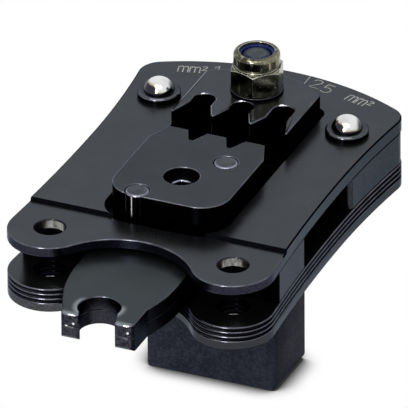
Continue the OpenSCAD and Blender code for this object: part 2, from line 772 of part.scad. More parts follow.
// Locator arm: a plate that turns about the pivot bolt and carries the block under the nests
module locator_arm() {
    hw = block_hw - arm_inset;
    color(burnished) difference() {
        translate([0, 0, arm_z]) linear_extrude(arm_t)
            rounded_rect(-hw, block_front_y + arm_inset, hw, block_rear_y - arm_inset, block_side_r);
        contact_bores(arm_z, arm_top_z);
        hole(0, pivot_y, bolt_r + hole_gap, arm_z, arm_top_z);
        translate([0, pivot_y, arm_z - past])
            cylinder(h = bolt_head_h + past, r = bolt_head_r + head_gap);
        for (p = arm_screw_places()) translate([p[0], p[1], arm_top_z]) arm_screw_space();
    }
}

// Hole and countersink for one locator screw
module arm_screw_space() {
    space_r = arm_screw_r + hole_gap;
    hole(0, 0, space_r, -arm_t, 0);
    translate([0, 0, -space_r]) cylinder(h = space_r, r1 = space_r, r2 = 2 * space_r);
}

function arm_screw_places() = [for (s = [-1, 1]) [s * arm_screw_x, block_front_y + arm_screw_y]];

// Locator block: a tall foot under the front of the nests, and a lower body behind it with the
// contact bores and the way in to the head of the pivot bolt
module locator_block() {
    shelf_z = arm_z - shelf_h;
    front_c = block_front_y + block_sole_r;
    rear_c = block_front_y + block_l - block_sole_r;
    fillet_c = [block_front_y + block_l + shelf_fillet_r, shelf_z - shelf_fillet_r];
    color(blasted_grey) difference() {
        intersection() {
            translate([0, 0, block_bottom_z]) linear_extrude(arm_z - block_bottom_z)
                rounded_rect(-block_hw, block_front_y, block_hw, block_rear_y, block_side_r);
            rotate([90, 0, 90]) translate([0, 0, -block_hw]) linear_extrude(2 * block_hw) polygon(concat(
                arc([front_c, block_bottom_z + block_sole_r], block_sole_r, 180, 270),
                arc([rear_c, block_bottom_z + block_sole_r], block_sole_r, 270, 360),
                arc(fillet_c, shelf_fillet_r, 180, 90),
                [[block_rear_y, shelf_z], [block_rear_y, arm_z], [block_front_y, arm_z]]));
            rotate([90, 0, 0]) translate([0, 0, -block_rear_y]) linear_extrude(block_rear_y)
                rounded_rect(-block_hw, block_bottom_z, block_hw, arm_z + block_edge_r, block_edge_r);
        }
        hole(0, pivot_y, bolt_head_r + head_gap, shelf_z, arm_z);
        translate([0, 0, arm_z - contact_d]) for (x = nest_xs)
            translate([x, contact_y, 0]) cylinder(h = contact_d + past, r = contact_r);
        for (p = arm_screw_places()) translate([p[0], p[1], arm_top_z - arm_screw_l])
            cylinder(h = arm_screw_l, r = arm_screw_r + hole_gap);
    }
}

// One countersunk locator screw with its six-sided socket
module locator_screw() {
    head_z = arm_screw_l - arm_screw_r;
    difference() {
        union() {
            cylinder(h = arm_screw_l, r = arm_screw_r);
            translate([0, 0, head_z]) cylinder(h = arm_screw_r, r1 = arm_screw_r, r2 = 2 * arm_screw_r);
        }
        translate([0, 0, head_z]) cylinder(h = 2 * arm_screw_r, r = arm_screw_r * 0.7, $fn = 6);
    }
}

module locator_screws() {
    color(bright_steel) for (p = arm_screw_places())
        translate([p[0], p[1], arm_top_z - arm_screw_l]) locator_screw();
}

top_plate();
guide_rail_left();
guide_rail_right();
rear_spacer();
lower_plate_1();
lower_plate_2();
lower_plate_3();
base_plate();
rail_pins();
rear_rivets();
rivet_collars();
fixed_die();
pivot_bolt();
nut_washer();
lock_nut();
nut_insert();
friction_washer();
ram_upper_plate();
ram_lower_plate();
moving_die();
die_dowels();
die_screw();
locator_arm();
locator_block();
locator_screws();
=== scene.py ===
import math

import bmesh
import bpy
from mathutils import Matrix, Vector


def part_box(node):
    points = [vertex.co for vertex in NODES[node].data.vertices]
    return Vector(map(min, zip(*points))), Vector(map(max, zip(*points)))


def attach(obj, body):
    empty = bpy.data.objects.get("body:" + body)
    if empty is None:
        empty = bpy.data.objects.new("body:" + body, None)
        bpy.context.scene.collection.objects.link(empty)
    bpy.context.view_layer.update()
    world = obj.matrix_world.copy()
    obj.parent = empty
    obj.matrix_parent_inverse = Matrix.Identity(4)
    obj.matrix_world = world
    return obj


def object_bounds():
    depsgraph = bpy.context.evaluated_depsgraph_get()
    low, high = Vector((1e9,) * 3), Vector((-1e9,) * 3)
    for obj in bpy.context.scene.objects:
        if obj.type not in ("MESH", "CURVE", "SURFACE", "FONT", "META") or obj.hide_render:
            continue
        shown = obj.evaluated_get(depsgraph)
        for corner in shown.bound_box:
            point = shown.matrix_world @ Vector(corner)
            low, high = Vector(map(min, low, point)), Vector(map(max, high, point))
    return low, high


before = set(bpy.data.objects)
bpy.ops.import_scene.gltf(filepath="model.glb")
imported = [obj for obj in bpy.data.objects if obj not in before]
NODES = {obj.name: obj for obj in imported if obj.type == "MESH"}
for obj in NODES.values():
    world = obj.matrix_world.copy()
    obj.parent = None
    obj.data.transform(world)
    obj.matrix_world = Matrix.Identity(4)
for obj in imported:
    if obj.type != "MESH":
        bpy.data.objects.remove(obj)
cad_low, cad_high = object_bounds()
MM = 0.001
X, Y, Z = range(3)

# ---------------------------------------------------------------- camera
AZIMUTH = math.radians(23.536)
ELEVATION = math.radians(29.628)
ROLL = math.radians(-0.4516)
FOCAL_PX = 19133.4
FRAME_PX = 408.0
PX_PER_MM = 6.2
# A point on the part's upright axis, and the pixel at which the photo shows it
AIM = Vector((0.0, 0.0, 2.4)) * MM
AIM_PX = (141.22, 242.65)
SENSOR = 36.0
# Clipping distances, as shares of the distance to the aim
CLIP_START = 0.5
CLIP_END = 4.0


def make_camera():
    """The view of the photo, whose aim lies beside the middle of the picture."""
    sa, ca = math.sin(AZIMUTH), math.cos(AZIMUTH)
    se, ce = math.sin(ELEVATION), math.cos(ELEVATION)
    back = Vector((sa * ce, -ca * ce, se))
    right = Vector((ca, sa, 0.0))
    up = Vector((-sa * se, ca * se, ce))
    across = right * math.cos(ROLL) + up * math.sin(ROLL)
    down = right * math.sin(ROLL) - up * math.cos(ROLL)
    du = FRAME_PX / 2 - AIM_PX[0]
    dv = FRAME_PX / 2 - AIM_PX[1]
    z_axis = (back * FOCAL_PX - across * du - down * dv).normalized()
    x_axis = (across - z_axis * across.dot(z_axis)).normalized()
    y_axis = z_axis.cross(x_axis)
    data = bpy.data.cameras.new("view")
    data.sensor_width = SENSOR
    data.lens = SENSOR * FOCAL_PX / FRAME_PX
    distance = FOCAL_PX / PX_PER_MM * MM
    data.clip_start = distance * CLIP_START
    data.clip_end = distance * CLIP_END
    camera = bpy.data.objects.new("view", data)
    bpy.context.scene.collection.objects.link(camera)
    turn = Matrix((x_axis, y_axis, z_axis)).transposed().to_4x4()
    camera.matrix_world = Matrix.Translation(AIM + back * distance) @ turn
    bpy.context.scene.camera = camera


make_camera()

# ---------------------------------------------------------------- node trees
# Upright share of the normal: a side below the first, a face above the second
LEVEL = (0.3, 0.8)
# Parts of a noise's range over which a look changes
WIDELY = (0.25, 0.75)
SOFTLY = (0.3, 0.7)
SHARPLY = (0.35, 0.65)
# Shares of a spot's radius within which it is full, and beyond which it has ended
SPOT_CORE = 0.6
SPOT_RIM = 1.2


def scaled(colour, factor):
    return tuple(v * factor for v in colour[:3]) + (1,)


class Graph:
    """The nodes of one tree. A value is a number, a tuple or the output of another node."""

    def __init__(self, tree):
        self.tree = tree

    def found(self, kind):
        return next(n for n in self.tree.nodes if n.type == kind)

    def node(self, kind, inputs=None, **settings):
        made = self.tree.nodes.new(kind)
        for key, value in settings.items():
            setattr(made, key, value)
        for key, value in (inputs or {}).items():
            self.put(made.inputs[key], value)
        return made

    def put(self, socket, value):
        if hasattr(value, "is_output"):
            self.tree.links.new(value, socket)
        else:
            socket.default_value = value

    def math(self, operation, first, second=0.0):
        return self.node("ShaderNodeMath", {0: first, 1: second}, operation=operation).outputs[0]

    def all_of(self, *shares):
        product = shares[0]
        for share in shares[1:]:
            product = self.math("MULTIPLY", product, share)
        return product

    def inverse(self, share):
        return self.math("SUBTRACT", 1.0, share)

    def span(self, value, low, high, to_low=0.0, to_high=1.0):
        """Goes from to_low at low to to_high at high, and is level beyond them."""
        found = self.node(
            "ShaderNodeMapRange",
            {"Value": value, "From Min": low, "From Max": high, "To Min": to_low, "To Max": to_high},
            interpolation_type="SMOOTHSTEP",
        )
        return found.outputs[0]

    def below(self, value, low, high):
        """1 below low, 0 above high."""
        return self.span(value, low, high, 1.0, 0.0)

    def part(self, vector, axis):
        return self.node("ShaderNodeSeparateXYZ", {"Vector": vector}).outputs[axis]

    def measure(self, operation, first, second):
        """A number from two vectors, such as their distance."""
        found = self.node("ShaderNodeVectorMath", {0: first, 1: second}, operation=operation)
        return found.outputs["Value"]

    def dim(self, colour, factor):
        found = self.node("ShaderNodeVectorMath", {0: colour, "Scale": factor}, operation="SCALE")
        return found.outputs[0]

    def mix(self, share, first, second):
        found = self.node("ShaderNodeMix", {0: share, 6: first, 7: second}, data_type="RGBA")
        return found.outputs[2]

    def shades(self, share, colour, low, high):
        """From low times the colour where share is 0 to high times the colour where it is 1."""
        return self.mix(share, scaled(colour, low), scaled(colour, high))

    def seen(self):
        """1 for the rays of the camera, of reflections and of clear pieces, 0 for soft light."""
        path = self.node("ShaderNodeLightPath")
        share = path.outputs["Is Camera Ray"]
        for ray in ("Is Glossy Ray", "Is Transmission Ray"):
            share = self.math("MAXIMUM", share, path.outputs[ray])
        return share


class Shader(Graph):
    """A material with one Principled surface."""

    def __init__(self, name, **values):
        self.material = bpy.data.materials.new(name)
        self.material.use_nodes = True
        super().__init__(self.material.node_tree)
        self.surface = self.found("BSDF_PRINCIPLED")
        for key, value in values.items():
            self.link(key.replace("_", " "), value)

    def link(self, key, value):
        self.put(self.surface.inputs[key], value)

    def place(self):
        return self.node("ShaderNodeTexCoord").outputs["Object"]

    def along(self, axis):
        """The place along an axis, in metres."""
        return self.part(self.place(), axis)

    def facing(self, axis):
        """The surface's normal along an axis, from -1 to 1."""
        return self.part(self.node("ShaderNodeTexCoord").outputs["Normal"], axis)

    def level(self):
        """1 on what faces up or down, 0 on upright sides."""
        return self.span(self.math("ABSOLUTE", self.facing(Z)), *LEVEL)

    def noise(self, scale, detail=3.0, rough=0.55, stretch=(1, 1, 1)):
        """Noise from 0 to 1, with scale waves in a metre."""
        moved = self.node("ShaderNodeMapping", {"Vector": self.place(), "Scale": stretch})
        found = self.node(
            "ShaderNodeTexNoise",
            {"Vector": moved.outputs[0], "Scale": scale, "Detail": detail, "Roughness": rough},
        )
        return found.outputs[0]

    def cells(self, scale):
        found = self.node("ShaderNodeTexVoronoi", {"Vector": self.place(), "Scale": scale})
        return found.outputs["Distance"]

    def spots(self, points, radius):
        """1 at any of the points, 0 well outside of radius."""
        nearest = 1.0
        for point in points:
            nearest = self.math("MINIMUM", nearest, self.measure("DISTANCE", self.place(), point))
        return self.below(nearest, radius * SPOT_CORE, radius * SPOT_RIM)

    def near(self, points, radius, soft):
        """1 within radius of any of the upright lines through points, 0 beyond soft outside it."""
        split = self.node("ShaderNodeSeparateXYZ", {"Vector": self.place()})
        nearest = None
        for x, y in points:
            dx = self.math("SUBTRACT", split.outputs[X], x)
            dy = self.math("SUBTRACT", split.outputs[Y], y)
            square = self.math("ADD", self.math("MULTIPLY", dx, dx), self.math("MULTIPLY", dy, dy))
            far = self.math("SQRT", square)
            nearest = far if nearest is None else self.math("MINIMUM", nearest, far)
        return self.below(nearest, radius, radius + soft)

    def gloss(self, scale, rough, shares):
        """Roughness that wanders between two shares of rough."""
        self.link("Roughness", self.span(self.noise(scale), *WIDELY, *(rough * v for v in shares)))

    def bump(self, height, strength, distance):
        found = self.node(
            "ShaderNodeBump", {"Height": height, "Strength": strength, "Distance": distance}
        )
        self.link("Normal", found.outputs[0])


# ---------------------------------------------------------------- places on the part
EARS = ((-16.1 * MM, 0.0), (16.1 * MM, 0.0))
BORE_R = 2.53 * MM
BORE_SOFT = 0.04 * MM
BORE_RIM_R = BORE_R + 0.4 * MM
BORE_RIM_SOFT = 0.05 * MM
# The window lies nearer to the middle than the first distance, the sides lie beyond the second
WINDOW_EDGE = (9.5 * MM, 9.9 * MM)
# Where the ears end and the full height of the frame begins
STEP_Y = 5.3 * MM
STEP_SOFT = 0.3 * MM
# Distances over which a side's painted shade and reflection tone turns to that of its rear or of its
# right part
REAR_FADE = 1.5 * MM
RIGHT_FADE = (4 * MM, 14 * MM)
NOTCH = ((0.0, -17.0 * MM),)
NOTCH_R = 3.45 * MM
# Painted highlight on the ram's face round the notch and behind the prong tips
NOTCH_HALO_R = NOTCH_R + 0.25 * MM
NOTCH_HALO_SOFT = 1.0 * MM
NOTCH_HALO_END_Y = (-16.2 * MM, -14.6 * MM)
# Height and distance from the middle over which the notch's rear wall turns black, painted shade
NOTCH_BLACK_Z = (-3.4 * MM, -1.4 * MM)
NOTCH_BLACK_X = (2.1 * MM, 2.9 * MM)
PRONG_TIP_Y = -20.55 * MM
TIP_END_Y = (PRONG_TIP_Y - 0.1 * MM, PRONG_TIP_Y)
TIP_HIGHLIGHT_Y = (PRONG_TIP_Y - 0.1 * MM, PRONG_TIP_Y + 0.2 * MM)
TIP_HALO_Y = (PRONG_TIP_Y - 0.2 * MM, PRONG_TIP_Y + 1.0 * MM)
DENTS = [Vector(p) * MM for p in ((-4.11, -21.0, -2.85), (-2.88, -21.0, -2.2), (6.63, -21.0, -1.93))]
DENT_R = 0.24 * MM
NEST_GLINTS = ((-7.45 * MM, 42.95 * MM), (-0.77 * MM, 42.98 * MM), (5.9 * MM, 44.25 * MM))
TIP_GLINTS = ((-3.3 * MM, -20.95 * MM), (6.3 * MM, -20.95 * MM))
GLINT_R = 0.4 * MM
GLINT_SOFT = 0.16 * MM
RIVET_X = 16.65 * MM
RIVET_Y = 46.05 * MM
DOME_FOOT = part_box("rivet_collars")[1].z + 1.15 * MM
DOME_SOFT = 0.10 * MM
DOME_BROWN_RISE = 0.35 * MM
# The ragged border between the polished crown and the dark foot, and how it slants down from left to
# right across the dome
DOME_RAGGED = 0.3 * MM
DOME_SLANT_X = 0.5 * MM
DOME_SLANT_Z = (-0.40 * MM, 0.55 * MM)
# Distance towards the camera's right over which the dome's flank turns dark: painted reflection
DOME_FLANK = (1.35 * MM, 2.1 * MM)
# The camera's rightward direction, seen from above
RIGHTWARD = (0.917, 0.399)
DIE_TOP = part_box("moving_die")[1].z
# Painted highlight line down the dowel's sliver in the front of the die
HIGHLIGHT_LINE_X = -5.0 * MM
HIGHLIGHT_LINE_HALF = (0.05 * MM, 0.14 * MM)
HIGHLIGHT_LINE_Z = (DIE_TOP - 4.4 * MM, DIE_TOP - 3.2 * MM)

# ---------------------------------------------------------------- tones
METAL_SHARE = 0.98
UNLIT = (0.002, 0.002, 0.003, 1)
# Bare metal specks in the prong dents, and painted highlight glints on edges
SPECK_AND_GLINT = (0.85, 0.85, 0.88, 1)
REAMED = (0.36, 0.355, 0.34, 1)
REAMED_DARK = (0.12, 0.12, 0.12, 1)
PLATE_FACE = (0.069, 0.071, 0.075, 1)
# The side tones are painted shade and painted reflection for the upright sides of burnished steel: most
# are near black, some are tinted like what those sides would reflect
PLATE_SIDE = (0.003, 0.003, 0.0045, 1)
TOP_SIDE = (0.026, 0.026, 0.040, 1)
TOP_REAR_SIDE = (0.033, 0.038, 0.044, 1)
BASE_SIDE = (0.066, 0.069, 0.073, 1)
BASE_RIGHT_SIDE = (0.040, 0.042, 0.048, 1)
# A lighter copy of the plate face tone: painted light on the lower plates' tops, which lie under the top
# plate
LOWER_FACE = (0.082, 0.085, 0.089, 1)
RAIL_SIDE = (0.034, 0.039, 0.046, 1)
DIE_FACE = (0.074, 0.076, 0.081, 1)
DIE_SIDE = (0.0022, 0.0022, 0.0032, 1)
RAM_FACE = (0.066, 0.072, 0.075, 1)
RAM_SIDE = (0.034, 0.034, 0.044, 1)
COLLAR_SIDE = (0.004, 0.004, 0.006, 1)
EDGE = (0.092, 0.092, 0.110, 1)
DIE_EDGE = (0.10, 0.102, 0.115, 1)
SOFT_EDGE = (0.055, 0.057, 0.062, 1)
DOWEL_HIGHLIGHT = (0.55, 0.55, 0.53, 1)
DOME_BRIGHT = (0.80, 0.79, 0.77, 1)
DOME_GREY = (0.68, 0.67, 0.65, 1)
DOME_BROWN = (0.45, 0.36, 0.24, 1)
DOME_BLACK = (0.035, 0.034, 0.042, 1)


def edge_on(share):
    """Tint of what the oxide reflects at a flat angle."""
    return (share * 0.95, share, share * 1.08, 1)


# ---------------------------------------------------------------- burnished steel
OXIDE_TINT = 0.6
EDGE_TINT = 0.42
OXIDE_ROUGH = 0.24
OXIDE_BUMP = 0.03
EDGE_BUMP = 0.02
BUMP_DEPTH = 0.02 * MM
# Scales of the noises
CLOUDS = 220.0
HANDLED = 420.0
TOOL_MARKS = 900.0
SMEARS = 900.0
GRAIN = 1500.0
PITS = 1900.0
FINE = 3000.0
# Least and greatest share of a tone or a roughness
FACE_SHADES = (0.95, 1.05)
SIDE_SHADES = (0.75, 1.25)
TORN_SHADES = (0.5, 1.7)
CLOUD_GLOSS = (0.92, 1.12)
EDGE_GLOSS = (0.8, 1.3)
# What the finest noise adds to the grain and to the roughness
FINE_GRAIN = 0.4
FINE_ROUGH = 0.02
# Normal along Y or Z, from fully turned that way to not at all, for the painted shade on front-facing
# sides and downward faces
FRONTWARD = (-0.8, -0.5)
DOWNWARD = (-0.6, -0.3)
REAMER_MARKS = (1.3, 1.3, 0.6)
# Gain of the painted highlight on the face over the plain face, and share of painted shade in the
# notch's rear wall
HALO_GAIN = 4.2
NOTCH_SHADE = 0.84
PIT_DEPTH = 4.0
# Part of an edge in its light tone, by its normal along Z, less where it looks to the right; the rest is
# painted shade
EDGE_LIT_FROM = (-0.35, -0.08)
RIGHT_EDGE_SHADE = 0.5
# Part that looks away from the camera, by its normal along Y less that along X, which takes a painted
# highlight tone
TURNED_OFF = (0.1, 0.4)
# Shares of the edges' light tone at the ears' bores, and on the ram behind its prong tips
BORE_SHARE = 0.3
RAM_SHARE = 0.35


def ram_halo_shade_and_pits(s, face, side, cloud, upright, lit_face, shaded_side, grain):
    """Painted highlight round the ram's notch and prong tips, painted shade in the notch, pitted prong
    ends: its lit face, shaded side and grain, in that order.
    """
    y = s.along(Y)
    rim = s.all_of(s.near(NOTCH, NOTCH_HALO_R, NOTCH_HALO_SOFT), s.below(y, *NOTCH_HALO_END_Y))
    painted_halo = s.all_of(
        s.math("MAXIMUM", rim, s.below(y, *TIP_HALO_Y)), s.span(cloud, 0.2, 0.6, 0.6, 1.0)
    )
    # Painted highlight: the face is lighter round the notch's rim and at the prong tips
    lit_face = s.mix(painted_halo, lit_face, scaled(face, HALO_GAIN))
    # Painted shade: the notch's rear wall turns black towards the top and away from the middle
    under_rim = s.span(s.along(Z), *NOTCH_BLACK_Z)
    off_middle = s.span(s.math("ABSOLUTE", s.along(X)), *NOTCH_BLACK_X)
    shade = s.math("MULTIPLY", s.math("MAXIMUM", under_rim, off_middle), NOTCH_SHADE)
    shaded_side = s.mix(shade, shaded_side, UNLIT)
    pits = s.span(s.noise(PITS, rough=0.6), 0.4, 0.6)
    prong_end = s.all_of(upright, s.below(y, *TIP_END_Y))
    torn = s.mix(s.spots(DENTS, DENT_R), s.shades(pits, side, *TORN_SHADES), SPECK_AND_GLINT)
    shaded_side = s.mix(prong_end, shaded_side, torn)
    grain = s.math("ADD", grain, s.math("MULTIPLY", s.all_of(prong_end, pits), PIT_DEPTH))
    return lit_face, shaded_side, grain


def burnished(name, face, side, rough=OXIDE_ROUGH, tint=OXIDE_TINT, rear_side=None,
              right_side=None, front=None, under=None, bores=(), ram=False):
    """Black oxide steel: faces in a lit tone, and upright sides in a much darker tone that is painted
    shade.
    """
    s = Shader(name, Specular_Tint=edge_on(tint), Metallic=METAL_SHARE)
    flat = s.level()
    upright = s.inverse(flat)
    cloud = s.noise(CLOUDS)
    fine = s.noise(FINE, detail=2.0)
    lit_face = s.shades(s.span(cloud, *SOFTLY), face, *FACE_SHADES)
    # Upright sides take the side tone: painted shade, some of it tinted as a painted reflection
    shaded_side = s.shades(s.span(fine, *SHARPLY), side, *SIDE_SHADES)
    # Other side tones behind the step, to the right and on front-facing sides: painted shade and painted
    # reflection
    if rear_side:
        shaded_side = s.mix(s.span(s.along(Y), STEP_Y, STEP_Y + REAR_FADE), shaded_side, rear_side)
    if right_side:
        shaded_side = s.mix(s.span(s.along(X), *RIGHT_FADE), shaded_side, right_side)
    if front:
        shaded_side = s.mix(s.below(s.facing(Y), *FRONTWARD), shaded_side, front)
    grain = s.math("ADD", s.noise(GRAIN), s.math("MULTIPLY", fine, FINE_GRAIN))
    if ram:
        lit_face, shaded_side, grain = ram_halo_shade_and_pits(
            s, face, side, cloud, upright, lit_face, shaded_side, grain
        )
    # Faces that look down take the under tone: painted shade
    if under:
        lit_face = s.mix(s.below(s.facing(Z), *DOWNWARD), lit_face, under)
    colour = s.mix(flat, shaded_side, lit_face)
    if bores:
        bore = s.all_of(s.near(bores, BORE_R, BORE_SOFT), upright)
        tool = s.span(s.noise(TOOL_MARKS, 4.0, 0.65, REAMER_MARKS), 0.36, 0.66)
        colour = s.mix(bore, colour, s.mix(tool, REAMED, REAMED_DARK))
    roughness = s.span(cloud, *WIDELY, *(rough * v for v in CLOUD_GLOSS))
    s.link("Base Color", colour)
    s.link("Roughness", s.math("ADD", roughness, s.span(fine, 0.3, 0.8, 0.0, FINE_ROUGH)))
    s.bump(grain, OXIDE_BUMP, BUMP_DEPTH)
    return s.material


def edge_with_painted_light(name, light, where=None, rough=0.16, below=UNLIT, away=None, glints=()):
    """Broken edge of a burnished piece: its light tone above, painted shade (black) below, outside where
    and partly where it looks right.

    It takes the tone away, a painted highlight, where it looks to the rear left, and has painted
    highlight spots at glints.
    """
    s = Shader(name, Metallic=1.0, Specular_Tint=edge_on(EDGE_TINT))
    # Painted shade: edges that look to the right keep less of their light tone
    loss = s.math("MULTIPLY", s.math("MAXIMUM", s.facing(X), 0.0), RIGHT_EDGE_SHADE)
    share = s.span(s.math("SUBTRACT", s.facing(Z), loss), *EDGE_LIT_FROM)
    if where:
        share = s.math("MULTIPLY", share, where(s))
    tone = s.dim(light[:3], s.span(s.noise(HANDLED), *SOFTLY, *SIDE_SHADES))
    if away:
        rear_left = s.math("SUBTRACT", s.facing(Y), s.facing(X))
        tone = s.mix(s.span(rear_left, *TURNED_OFF), tone, away)
    if glints:
        tone = s.mix(s.near(glints, GLINT_R, GLINT_SOFT), tone, SPECK_AND_GLINT)
    s.link("Base Color", s.mix(share, below, tone))
    s.gloss(SMEARS, rough, EDGE_GLOSS)
    s.bump(s.noise(GRAIN, detail=2.0), EDGE_BUMP, BUMP_DEPTH)
    return s.material


def bore_rims(s):
    return s.near(EARS, BORE_RIM_R, BORE_RIM_SOFT)


def outer_edges(s):
    """Where plate edges keep their light tone: the outlines of the ears and sides, without the windows
    and the bores; elsewhere they are painted black.
    """
    outside = s.span(s.math("ABSOLUTE", s.along(X)), *WINDOW_EDGE)
    return s.all_of(outside, s.inverse(bore_rims(s)))


def front_edges(s):
    """Where the top plate's edges keep their light tone: the outline of the ears and the nose, ahead of
    the step, and faintly the bores; elsewhere painted black.
    """
    ahead = s.below(s.along(Y), STEP_Y - STEP_SOFT, STEP_Y + STEP_SOFT)
    return s.all_of(ahead, s.span(bore_rims(s), 0.0, 1.0, 1.0, BORE_SHARE))


def prong_tips(s):
    """Where the ram's edges take their painted highlight: the ends of the prongs, and faintly the rest
    of the ram.
    """
    return s.span(s.along(Y), *TIP_HIGHLIGHT_Y, 1.0, RAM_SHARE)


# ---------------------------------------------------------------- other materials
# Part of a noise's range in which metal goes from one tone to the other
PATCHY = (0.35, 0.68)
METAL_PATCHES = 700.0
METAL_SMEARS = 1200.0
METAL_GRAIN = 2040.0
METAL_GLOSS = (0.75, 1.5)
DULL_IOR = 1.45
DULL_CLOUDS = 420.0
DULL_FLECKS = 1900.0
DULL_GRAIN = 2400.0
DULL_CELLS = 1500.0
DULL_CELL_GRAIN = 0.4
DULL_BUMP_DEPTH = 0.05 * MM
# The right side's normal along X, from not turned to fully turned, over which the painted shade on what
# faces the right comes in
RIGHT_TURN = (0.4, 0.8)
RIVET_PATCHES = 500.0
RIVET_BORDER = 600.0
RIVET_GRAIN = 800.0
RIVET_SMEARS = 900.0
DOWEL_CLOUDS = 500.0
DOWEL_GRAIN = 1200.0
DOWEL_SMEARS = 1500.0
DOWEL_SHADES = (0.85, 1.5)
ZINC_CLOUDS = 500.0
ZINC_DENTS = 700.0
ZINC_STREAKS = 1300.0
ZINC_SMEARS = 1500.0
ZINC_STREAK_SHAPE = (1.0, 1.0, 0.22)
# Least and greatest share of the zinc tone, from faces turned left to faces turned right: painted light
ZINC_SHADES = (0.6, 1.5)
ZINC_HAZE = 0.5
ZINC_GLOSS = (0.8, 1.4)
ZINC_BUMP_DEPTH = 0.03 * MM


def metal(name, base, other, rough):
    """Bare metal in patches of two tones."""
    s = Shader(name, Metallic=1.0)
    patch = s.span(s.noise(METAL_PATCHES, detail=5.0), *PATCHY)
    s.link("Base Color", s.mix(patch, base, other))
    s.gloss(METAL_SMEARS, rough, METAL_GLOSS)
    s.bump(s.noise(METAL_GRAIN, detail=2.0), 0.05, BUMP_DEPTH)
    return s.material


def dull(name, base, other, rough, grain, gloss=0.2, right=1.0):
    """Mottled matt surface, with painted shade: what faces the right is dimmed to the share right."""
    s = Shader(name, IOR=DULL_IOR, Specular_IOR_Level=gloss)
    cloud = s.span(s.noise(DULL_CLOUDS, 5.0, 0.62), 0.32, 0.7)
    fleck = s.span(s.noise(DULL_FLECKS, rough=0.6), 0.42, 0.62)
    tone = s.mix(s.math("MULTIPLY", s.math("ADD", cloud, fleck), 0.5), base, other)
    s.link("Base Color", s.dim(tone, s.span(s.facing(X), *RIGHT_TURN, 1.0, right)))
    s.link("Roughness", s.span(cloud, 0.0, 1.0, rough * 0.88, rough * 1.1))
    cells = s.math("MULTIPLY", s.cells(DULL_CELLS), DULL_CELL_GRAIN)
    s.bump(s.math("ADD", s.noise(DULL_GRAIN), cells), grain, DULL_BUMP_DEPTH)
    return s.material


def riveted():
    """Set rivet: the crown of the dome is polished and its foot dark; its flank to the camera's right is
    painted dark, a painted reflection.
    """
    s = Shader("polished_rivet", Metallic=1.0)
    crown = s.mix(s.span(s.noise(RIVET_PATCHES, detail=4.0), *PATCHY), DOME_BRIGHT, DOME_GREY)
    x = s.along(X)
    from_axis = s.math("SUBTRACT", s.math("ABSOLUTE", x), RIVET_X)
    from_axis = s.math("MULTIPLY", from_axis, s.math("SIGN", x))
    slant = s.span(from_axis, 0.0, DOME_SLANT_X, *DOME_SLANT_Z)
    rearward = s.math("SUBTRACT", s.along(Y), RIVET_Y)
    rightward = s.math(
        "ADD", s.math("MULTIPLY", from_axis, RIGHTWARD[X]), s.math("MULTIPLY", rearward, RIGHTWARD[Y])
    )
    height = s.math("ADD", s.along(Z), s.math("MULTIPLY", s.noise(RIVET_BORDER), DOME_RAGGED))
    height = s.math("ADD", height, slant)
    foot = s.below(height, DOME_FOOT - DOME_SOFT, DOME_FOOT + DOME_SOFT)
    toned = s.mix(s.span(height, DOME_FOOT, DOME_FOOT + DOME_BROWN_RISE), DOME_BROWN, crown)
    # Dark on the foot, and on the flank towards the camera's right as a painted reflection
    black = s.math("MAXIMUM", foot, s.span(rightward, *DOME_FLANK))
    s.link("Base Color", s.mix(black, toned, DOME_BLACK))
    s.link("Roughness", s.span(s.noise(RIVET_SMEARS), *WIDELY, 0.12, 0.2))
    s.bump(s.noise(RIVET_GRAIN, detail=2.0), 0.03, BUMP_DEPTH)
    return s.material


def dowel():
    """Ground dowel: upright sides in painted shade, and a painted highlight line on the sliver that
    shows in the front of the die.
    """
    s = Shader("ground_dowel", Specular_Tint=edge_on(OXIDE_TINT))
    flat = s.level()
    across = s.math("ABSOLUTE", s.math("SUBTRACT", s.along(X), HIGHLIGHT_LINE_X))
    line = s.below(across, *HIGHLIGHT_LINE_HALF)
    line = s.all_of(line, s.span(s.along(Z), *HIGHLIGHT_LINE_Z), s.inverse(flat))
    side = s.mix(line, DIE_SIDE, DOWEL_HIGHLIGHT)
    top = s.shades(s.span(s.noise(DOWEL_CLOUDS), *SOFTLY), DIE_FACE, *DOWEL_SHADES)
    s.link("Base Color", s.mix(flat, side, top))
    s.link("Metallic", s.math("SUBTRACT", METAL_SHARE, s.math("MULTIPLY", line, METAL_SHARE)))
    s.link("Roughness", s.span(s.noise(DOWEL_SMEARS), *WIDELY, 0.24, 0.34))
    s.bump(s.noise(DOWEL_GRAIN), 0.08, BUMP_DEPTH)
    return s.material


def plated(name, base, streak, rough):
    """Zinc plate: dark metal with lighter streaks that run up and down, and painted light: faces turned
    to the right are lighter.
    """
    s = Shader(name, Metallic=1.0)
    shine = s.span(s.noise(ZINC_STREAKS, 4.0, 0.6, ZINC_STREAK_SHAPE), 0.50, 0.70)
    haze = s.span(s.noise(ZINC_CLOUDS), *SOFTLY)
    # Painted light: lighter on faces turned to the right, darker on those turned left
    side = s.shades(s.span(s.facing(X), -0.1, 0.6), base, *ZINC_SHADES)
    s.link("Base Color", s.mix(shine, s.mix(haze, side, s.dim(side, ZINC_HAZE)), streak))
    s.gloss(ZINC_SMEARS, rough, ZINC_GLOSS)
    s.bump(s.noise(ZINC_DENTS), 0.25, ZINC_BUMP_DEPTH)
    return s.material


# ---------------------------------------------------------------- skins
# The top plate's rear sides take a painted reflection tone, and what faces down is painted black,
# painted shade
top_skin = burnished(
    "burnished_top", PLATE_FACE, TOP_SIDE, rear_side=TOP_REAR_SIDE, under=UNLIT, bores=EARS
)
plate_skin = burnished("burnished_plate", LOWER_FACE, PLATE_SIDE, rough=0.2, tint=0.4)
# The base plate's sides turn darker to the right: painted shade
base_skin = burnished(
    "burnished_base", PLATE_FACE, BASE_SIDE, rough=0.2, right_side=BASE_RIGHT_SIDE, bores=EARS
)
